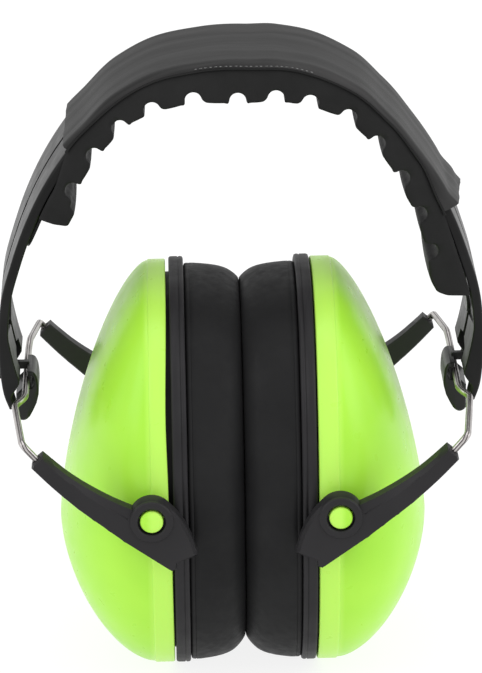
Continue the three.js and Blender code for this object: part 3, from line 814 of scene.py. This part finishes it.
def clip_outline():
    """The hook's outline in x and z: a thin spine with a tab at its foot, and each point's bevel."""
    outline = [(q, 0.3) for q in bezier([(45.4, 24.2), (44.5, 23.9), (44.2, 22.4)], 6)]
    outline += [(q, 0.35) for q in bezier([(44.2, 22.4), (43.9, 20.6), (44.0, 18.8)], 5)]
    outline += [((44.0, 18.8), 1.3), ((44.5, 16.8), 1.7), ((45.3, 15.1), 1.3), ((46.0, 13.8), 0.6)]
    outline += [(q, 0.35) for q in bezier([(46.0, 13.8), (47.5, 11.9), (48.9, 13.7)], 8)[1:]]
    outline += [((48.9, 13.7), 0.3), ((48.9, 19.0), 0.3), ((47.4, 20.4), 0.3)]
    outline += [(q, 0.25) for q in bezier([(45.5, 20.4), (44.9, 21.1), (44.9, 22.0)], 5)]
    outline += [((45.3, 23.0), 0.25), ((46.4, 23.1), 0.2), ((46.4, 24.2), 0.2)]
    return outline


def slab(outline, half_width, bevel):
    """A prism of an outline in x and z along Y, with one bevel or one for each point."""
    small = outline + inward_normals(outline) * np.reshape(bevel, (-1, 1))
    edge = min(float(np.max(bevel)), MAX_BEVEL_DEPTH)
    return lathe_sections([at_y(small, -half_width), at_y(outline, edge - half_width),
                           at_y(outline, half_width - edge), at_y(small, half_width)])


def box_shape(xs, half_width, zs):
    corners = [(xs[0], zs[0]), (xs[1], zs[0]), (xs[1], zs[1]), (xs[0], zs[1])]
    return slab(np.array(corners, float), half_width, 0.12)


def wire_clip():
    outline, bevels = zip(*clip_outline())
    body = slab(np.array(outline), CLIP_HALF_WIDTH, bevels)
    neck = box_shape(CLIP_NECK_X, CLIP_NECK_HALF_WIDTH, CLIP_NECK_Z)
    head = box_shape(CLIP_HEAD_X, CLIP_HEAD_HALF_WIDTH, CLIP_HEAD_Z)
    return combined(body, neck, head)


# ---------------------------------------------------------------- headband and head pad

def spline(points, t):
    """Uniform Catmull-Rom through the points, at t from 0 to 1."""
    place = t * (len(points) - 1)
    i = min(int(place), len(points) - 2)
    w = place - i
    p = [np.array(points[min(max(i + k, 0), len(points) - 1)], float) for k in (-1, 0, 1, 2)]
    v0, v1 = (p[2] - p[0]) / 2, (p[3] - p[1]) / 2
    return (2 * p[1] - 2 * p[2] + v0 + v1) * w**3 + (3 * p[2] - 3 * p[1] - 2 * v0 - v1) * w**2 + v0 * w + p[1]


class Arch:
    """The band's outer face as a curve in x and z, from the right tip over the crown to the left."""

    def __init__(self, profile):
        points = profile[::-1] + [(-x, z) for x, z in profile[1:]]
        self.points = np.array([spline(points, t) for t in np.linspace(0, 1, 2401)])
        ahead = np.gradient(self.points, axis=0)
        self.tangents = ahead / np.linalg.norm(ahead, axis=1)[:, None]
        self.lengths = run_lengths(self.points)
        angles = np.degrees(np.arctan2(self.points[:, 1] - ARCH_CENTRE_Z, self.points[:, 0]))
        self.angles = np.where(angles < -90, angles + 360, angles)

    def at_length(self, s, offset=0.0):
        """The point in x and z at a length from the right tip, with an offset inward."""
        tx, tz = point_at(s, self.lengths, self.tangents)
        return point_at(s, self.lengths, self.points) + np.array((-tz, tx)) * offset

    def place(self, s, y, offset):
        """The same point with its y."""
        x, z = self.at_length(s, offset)
        return (x, y, z)

    def length_at_angle(self, degrees):
        return np.interp(degrees, self.angles, self.lengths)

    def at_angle(self, degrees, offset=0.0):
        return self.at_length(self.length_at_angle(degrees), offset)

    def length_at_height(self, z):
        """The length from the right tip at which the right leg reaches a height."""
        half = len(self.points) // 2
        return np.interp(z, self.points[:half, 1], self.lengths[:half])


arch = Arch(BAND_PROFILE)


def web_thickness(x, z):
    return min(BAND_WEB, x - FLANGE_TIP_X) if z < FLANGE_END_Z - 2 else BAND_WEB


def flange_depth(z):
    depth = FLANGE_DEPTH + RAIL_DEEPENING * max(0.0, RAIL_TOP_Z - z)
    if z < FLANGE_END_Z:
        share = max(0.0, (z - RAIL_END_Z) / (FLANGE_END_Z - RAIL_END_Z))
        depth = min(depth, RAIL_END_DEPTH + (depth - RAIL_END_DEPTH) * share)
    return depth


def half_width_of_slot(s, z):
    """How far from the middle the channel's material starts: slot, V notch or nothing."""
    slot_end = arch.length_at_height(SLOT_TOP_Z)
    inside = 0.0
    if s < slot_end:
        near = max(0.0, SLOT_HALF_WIDTH - (slot_end - s))
        inside = math.sqrt(max(0.0, SLOT_HALF_WIDTH**2 - near**2))
    if z < NOTCH_TOP_Z:
        inside = max(inside, NOTCH_HALF_WIDTH * (NOTCH_TOP_Z - z) / (NOTCH_TOP_Z - TIP_Z))
    return inside


def band_row(s):
    """The section of one quarter of the channel at a length from the tip: outside, flange, inside."""
    x, z = arch.at_length(s)
    inside = half_width_of_slot(s, z)
    web = max(0.12, web_thickness(x, z))
    depth = max(web + 0.02, flange_depth(z))
    outer = BAND_HALF_WIDTH
    flange_start = outer - FLANGE_THICKNESS
    if z < RAIL_TOP_Z:
        widened = min(1.0, (RAIL_TOP_Z - z) / 0.8)
        rail_start = RECESS_HALF_WIDTH if z < RECESS_TOP_Z else SLOT_HALF_WIDTH + 0.3
        flange_start += (rail_start - flange_start) * widened
    flange_in = max(flange_start, inside + 0.15)
    groove = GROOVE_DEPTH if inside == 0 and z < GROOVE_TOP_Z else 0.0
    corner = 0.7
    section = [(inside, groove), (max(inside, 0.55), groove), (max(inside, 0.85) + 0.02, 0.0)]
    section += [(inside + (outer - corner - inside) * share, 0.0) for share in (0.2, 0.45, 0.7, 0.9)]
    for i in range(5):
        turn = i / 4 * math.pi / 2
        drop = min(corner, depth * 0.6)
        section.append((outer - corner + corner * math.sin(turn), drop * (1 - math.cos(turn))))
    section += [(outer, depth - 0.25), (outer - 0.25, depth), (flange_in + 0.2, depth)]
    section += [(flange_in, depth - 0.2), (flange_in, web + 0.01), (flange_in - 0.12, web)]
    section += [(inside + (flange_in - 0.12 - inside) * share, web) for share in (0.75, 0.5, 0.25, 0.0)]
    return [arch.place(s, max(y, inside), offset) for y, offset in section]


def headband_frame():
    crown = arch.lengths[-1] / 2
    notch_top = arch.length_at_height(NOTCH_TOP_Z)
    slot_top = arch.length_at_height(SLOT_TOP_Z)
    stations = list(np.linspace(0.02, notch_top, 14))
    stations += list(np.linspace(notch_top, slot_top - SLOT_HALF_WIDTH, 34))[1:]
    stations += [slot_top - SLOT_HALF_WIDTH * (1 - math.sin(k * math.pi / 14)) for k in range(1, 8)]
    stations += list(np.linspace(slot_top + 0.05, crown, 56))
    rows = [band_row(s) for s in stations]
    points, faces = grid(rows)
    count = len(rows[0])
    # The tip's end face, and the slot's walls.
    faces.append(tuple(range(count)))
    for r in range(len(rows) - 1):
        if rows[r][0][1] > 0 or rows[r + 1][0][1] > 0:
            a, b = r * count, (r + 1) * count
            faces.append((a, b, b + count - 1, a + count - 1))
    quarter = (points, faces)
    half = combined(quarter, mirrored(quarter, 1))
    return combined(half, mirrored(half, 0))


def head_pad_base():
    """The thin strip under the cushion, with rounded tongues at both ends."""
    start, end = (arch.length_at_angle(a) for a in BASE_ANGLES)
    outer, inner = BASE_OFFSETS
    rings = []
    for s in np.linspace(start, end, 120):
        left = min(s - start, end - s)
        rounding = max(0.0, 1 - max(0.0, 1 - left / BASE_TONGUE) ** 2.6)
        half = max(0.05, BASE_HALF_WIDTH * math.sqrt(rounding))
        section = [(-half, outer), (half, outer), (half, inner), (-half, inner)]
        rings.append([arch.place(s, y, offset) for y, offset in section])
    return lathe_sections(rings)


def pad_inner_radius(degrees):
    place = min(abs(90 - degrees) / PAD_RADII_STEP, len(PAD_INNER_RADII) - 1.001)
    step = int(place)
    share = place - step
    return PAD_INNER_RADII[step] * (1 - share) + PAD_INNER_RADII[step + 1] * share


def polar_point(degrees, radius):
    angle = math.radians(degrees)
    return (radius * math.cos(angle), ARCH_CENTRE_Z + radius * math.sin(angle))


def resampled(line, pitch, smoothing):
    """Points at an even pitch along a line, with its corners eased by averaging neighbours."""
    line = np.array(line, float)
    lengths = run_lengths(line)
    even = point_at(np.linspace(0, lengths[-1], int(lengths[-1] / pitch) + 1), lengths, line).T
    for _ in range(smoothing):
        even[1:-1] = (even[:-2] + 2 * even[1:-1] + even[2:]) / 4
    return even


def pad_inner_line():
    """The cushion's notched inner line in x and z, from the right end over the crown to the left."""
    wide, deep = PAD_NOTCH_RADIUS, PAD_NOTCH_DEPTH
    notch = [(-wide - 0.4, 0.0), (-wide - 0.08, 0.3), (-wide, deep - wide)]
    notch += [(-wide * math.cos(t), deep - wide + wide * math.sin(t))
              for t in np.linspace(0.2, math.pi - 0.2, 9)]
    notch += [(wide, deep - wide), (wide + 0.08, 0.3), (wide + 0.4, 0.0)]
    line = list(PAD_RIGHT_END[::-1])
    last = PAD_ANGLES[0] + 2.5
    for middle in PAD_NOTCHES:
        radius = pad_inner_radius(middle)
        mouth = middle - math.degrees((wide + 0.4) / radius)
        for share in (0.08, 0.3, 0.5, 0.7, 0.92):
            angle = last + (mouth - last) * share
            line.append(polar_point(angle, pad_inner_radius(angle) - 0.15 * math.sin(share * math.pi)))
        for along, depth in notch:
            line.append(polar_point(middle + math.degrees(along / radius), radius + depth))
        last = middle + math.degrees((wide + 0.4) / radius)
    for share in (0.1, 0.4, 0.7, 0.95):
        angle = last + (PAD_LAST_LOBE_END - last) * share
        line.append(polar_point(angle, pad_inner_radius(angle)))
    line += list(PAD_LEFT_END)
    return resampled(line, 0.3, 2)


def pad_hem_offset(angle):
    """How far inside the band's outer face the cushion's side reaches up, towards the cover's hem."""
    near_end = min(angle - PAD_ANGLES[0], PAD_ANGLES[1] - angle)
    rise = min(1.0, max(0.0, (near_end - 9) / 14))
    rise = rise * rise * (3 - 2 * rise)
    return PAD_SIDE_OFFSET + (smooth_between(HEM_OFFSET, angle) + 0.35 - PAD_SIDE_OFFSET) * rise


def head_pad_cushion():
    """The lobed cushion. Its sides rise over the band's flanges to the cover's hem."""
    flat_y = (0.0, 4.7, 9.4, 13.2, 14.05)
    rings = []
    for inner in pad_inner_line():
        angle = math.degrees(math.atan2(inner[1] - ARCH_CENTRE_Z, inner[0]))
        angle = min(max(angle, PAD_ANGLES[0] - 1.4), PAD_ANGLES[1] + 0.8)
        outer = arch.at_angle(angle, PAD_OUTER_OFFSET)
        hem = arch.at_angle(angle, pad_hem_offset(angle))
        reach = inner - hem
        length = np.linalg.norm(reach)
        inward = reach / length
        half = [(outer, y) for y in flat_y]
        half += [(hem + inward * 0.05, PAD_HALF_WIDTH - 0.42), (hem + inward * 0.35, PAD_HALF_WIDTH - 0.12)]
        half += [(hem + reach * share, PAD_HALF_WIDTH + 0.04 * math.sin(share * math.pi))
                 for share in (0.2, 0.45, 0.7)]
        half += [(inner - inward * back, PAD_HALF_WIDTH - drop)
                 for back, drop in ((1.0, 0.03), (0.6, 0.12), (0.27, 0.33), (0.07, 0.65), (0.0, 1.0))]
        half += [(inner + inward * crown, y)
                 for y, crown in ((11.0, 0.12), (7.5, 0.24), (3.8, 0.3), (0.0, 0.32))]
        ring = [(p[0], y, p[1]) for p, y in half]
        ring += [(p[0], -y, p[1]) for p, y in half[-2:0:-1]]
        rings.append(np.array(ring))
    return lathe_sections(rings)


def cover_ends(y):
    """The polar angles at which the cover starts and ends, at one y."""
    share = (y + PAD_HALF_WIDTH) / (2 * PAD_HALF_WIDTH)
    return tuple(front + (back - front) * share for front, back in (COVER_RIGHT_END, COVER_LEFT_END))


def cover_ripple(y):
    """Soft ridges along the cover, where it lies over the band's ribs."""
    ridges = ((8.6, 2.2, 0.12), (2.4, 2.2, 0.08), (-7.2, 2.6, 0.1))
    return sum(height * math.exp(-((y - place) / width) ** 2) for place, width, height in ridges)


def cover_point(share, y, drop, inset):
    """A point of the cover, from its right end to its left and from its top (drop 0) to its hem (drop 1)."""
    right, left = cover_ends(y)
    angle = right + (left - right) * share
    rise = smooth_between(COVER_RISE, angle) + cover_ripple(y)
    offset = -rise * (1 - drop) + smooth_between(HEM_OFFSET, angle) * drop + inset
    return arch.place(arch.length_at_angle(angle), y, offset)


def head_pad_cover():
    """The leatherette panel over the crown, turned down along both edges to its hems."""
    flat = PAD_HALF_WIDTH + 0.35 - COVER_TURN
    rows = []
    for inset in (0.0, COVER_THICKNESS):
        edge = []
        for step in range(1, 7):
            turn = step / 6 * math.pi / 2
            y = flat + (COVER_TURN - inset * 0.6) * math.sin(turn)
            edge.append((y, 1 - math.cos(turn), inset * (1 - step / 6 * 0.6)))
        row = [(-y, drop, inside) for y, drop, inside in reversed(edge)]
        row += [(y, 0.0, inset) for y in np.linspace(-flat, flat, 41)]
        rows.append(row + edge)
    section = rows[0] + rows[1][::-1]
    return lathe_sections([[cover_point(share, *at) for at in section] for share in np.linspace(0, 1, 150)])


def cover_piping():
    """The narrow welded bead along both hems, between the cover and the cushion."""
    made = []
    for side in (-1, 1):
        path = []
        for angle in np.linspace(COVER_RIGHT_END[0] - 1.0, COVER_LEFT_END[0] + 0.8, 170):
            offset = smooth_between(HEM_OFFSET, angle) + 0.28
            path.append(arch.place(arch.length_at_angle(angle), side * (PAD_HALF_WIDTH + 0.2), offset))
        made.append(tube(path, 0.26, 10))
    return combined(*made)


def cover_stitches():
    """Short stitches along the hem over the crown."""
    made = []
    start, end = (arch.length_at_angle(a) for a in STITCH_ANGLES)
    for side in (-1, 1):
        for s in np.arange(start, end, STITCH_PITCH):
            path = []
            for step in np.linspace(0, 1, 6):
                at = s + STITCH_LENGTH * step
                offset = smooth_between(HEM_OFFSET, np.interp(at, arch.lengths, arch.angles)) - 0.35
                y = side * (PAD_HALF_WIDTH + 0.38 + 0.05 * math.sin(step * math.pi))
                path.append(arch.place(at, y, offset))
            made.append(tube(path, [0.04, 0.08, 0.1, 0.1, 0.08, 0.04], 6))
    return combined(*made)


# ---------------------------------------------------------------- pieces

add_piece("headband_channel", headband_frame(), band_look, "headband", ["headband_frame"],
          0.16, 35)
add_piece("head_pad_strip", head_pad_base(), band_look, "headband", ["head_pad_base"],
          0.12, 40)
cushion = add_piece("head_pad_lobes", head_pad_cushion(), pad_look, "headband", ["head_pad_cushion"],
                    0, 62)
wrap = add_piece("head_pad_wrap", head_pad_cover(), cover_look, "headband", ["head_pad_cover"],
                 0, 60)
piping = add_piece("head_pad_piping", cover_piping(), pad_look, "headband")
stitches = add_piece("head_pad_stitches", cover_stitches(), thread_look, "headband")


def sided(shape, side):
    return shape if side == "right" else mirrored(shape, 0)


def build_side(side):
    """The clip, bail and cup on one side of the object."""
    cup, bail, slider = f"cup_{side}", f"bail_{side}", f"slider_{side}"

    def put(name, shape, look, body, node, bevel=0, smooth=40):
        return add_piece(f"{name}_{side}", sided(shape, side), look, body, [f"{node}_{side}"],
                         bevel, smooth)

    put("clip", wire_clip(), clip_look, slider, "wire_clip", 0.14, 35)
    put("wire", wire_bail(), wire_look, bail, "wire_bail")
    shell = cup_shell() if side == "right" else ajar_shell()
    put("shell", shell, lime_look, cup, "cup_shell", 0, 50)
    put("rim", cup_rim_plate(), rim_look, cup, "cup_rim_plate", 0, 60)
    put("backing", cushion_backing_plate(), rim_look, cup, "cushion_backing_plate", 0, 50)
    put("liner", sound_liner(), foam_look, cup, "sound_liner", 0, 50)
    cloth = put("cloth", liner_cover(), cloth_look, cup, "liner_cover", 0, 50)
    pad = put("ear_pad", ear_cushion(), cushion_look, cup, "ear_cushion", 0, 80)
    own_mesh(pad)


def build_arms():
    """Four arms: each is a mirror image of the front right one."""
    master = yoke_arm()
    for side, x_sign in BODY_OF_SIDE.items():
        for place, y_sign in (("front", 1), ("back", -1)):
            obj = master.copy()
            obj.data = master.data.copy()
            obj.name = f"arm_{place}_{side}"
            obj.data.transform(Matrix.Diagonal((x_sign, y_sign, 1, 1)))
            if x_sign * y_sign < 0:
                obj.data.flip_normals()
            bpy.context.scene.collection.objects.link(obj)
            obj.data.materials.clear()
            obj.data.materials.append(arm_look)
            soften(obj, 0.14, 32)
            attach(obj, f"bail_{side}")
            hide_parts(f"yoke_arm_{place}_{side}")
    bpy.data.objects.remove(master)


for side in BODY_OF_SIDE:
    build_side(side)
build_arms()


# ---------------------------------------------------------------- floor, light and camera

def studio():
    mesh = bpy.data.meshes.new("floor")
    size = 6.0
    corners = [(-size, -size, 0), (size, -size, 0), (size, size, 0), (-size, size, 0)]
    mesh.from_pydata(corners, [], [(0, 1, 2, 3)])
    floor = bpy.data.objects.new("floor", mesh)
    bpy.context.scene.collection.objects.link(floor)
    look = Look("pale_floor", Roughness=0.9, Specular_IOR_Level=0.1, Emission_Color=grey(1),
                Emission_Strength=0.86)
    mesh.materials.append(look.finish(Base_Color=look.drift(3, 2, grey(0.16), grey(0.18))))
    world = bpy.data.worlds.new("studio")
    bpy.context.scene.world = world
    world.use_nodes = True
    background = world.node_tree.nodes["Background"]
    background.inputs["Color"].default_value = grey(1)
    background.inputs["Strength"].default_value = 0.82
    bpy.context.scene.view_settings.view_transform = "Standard"


def softbox(name, place, size, power):
    """A square light that faces the object."""
    light = bpy.data.lights.new(name, "AREA")
    light.shape = "RECTANGLE"
    light.size = light.size_y = size
    light.energy = power
    obj = bpy.data.objects.new(name, light)
    obj.location = place
    obj.rotation_euler = (Vector((0, 0, 0.06)) - Vector(place)).to_track_quat("-Z", "Y").to_euler()
    bpy.context.scene.collection.objects.link(obj)


def add_camera():
    data = bpy.data.cameras.new("view")
    data.sensor_width = SENSOR
    data.lens = LENS
    data.clip_start, data.clip_end = 0.05, 20
    camera = bpy.data.objects.new("view", data)
    tilt, turn, roll = (math.radians(a) for a in (VIEW_ELEVATION, VIEW_TURN, VIEW_ROLL))
    turned = Matrix.Rotation(-turn, 3, "Z")
    right = turned @ Vector((1, 0, 0))
    up = turned @ Vector((0, math.sin(tilt), math.cos(tilt)))
    forward = turned @ Vector((0, math.cos(tilt), -math.sin(tilt)))
    place = right * VIEW_CENTRE[0] + up * VIEW_CENTRE[1] - forward * VIEW_DISTANCE + Vector((0, 0, LIFT))
    rolled_up = up * math.cos(roll) + right * math.sin(roll)
    rolled_right = right * math.cos(roll) - up * math.sin(roll)
    axes = Matrix((rolled_right, rolled_up, -forward)).transposed()
    camera.matrix_world = Matrix.Translation(place * MM) @ axes.to_4x4()
    bpy.context.scene.collection.objects.link(camera)
    bpy.context.scene.camera = camera


studio()
softbox("top", (0.0, 0.1, 1.2), 1.2, 5)
softbox("left", (-1.0, -0.5, 0.7), 0.8, 4)
softbox("right", (1.0, -0.4, 0.6), 0.8, 4)
add_camera()
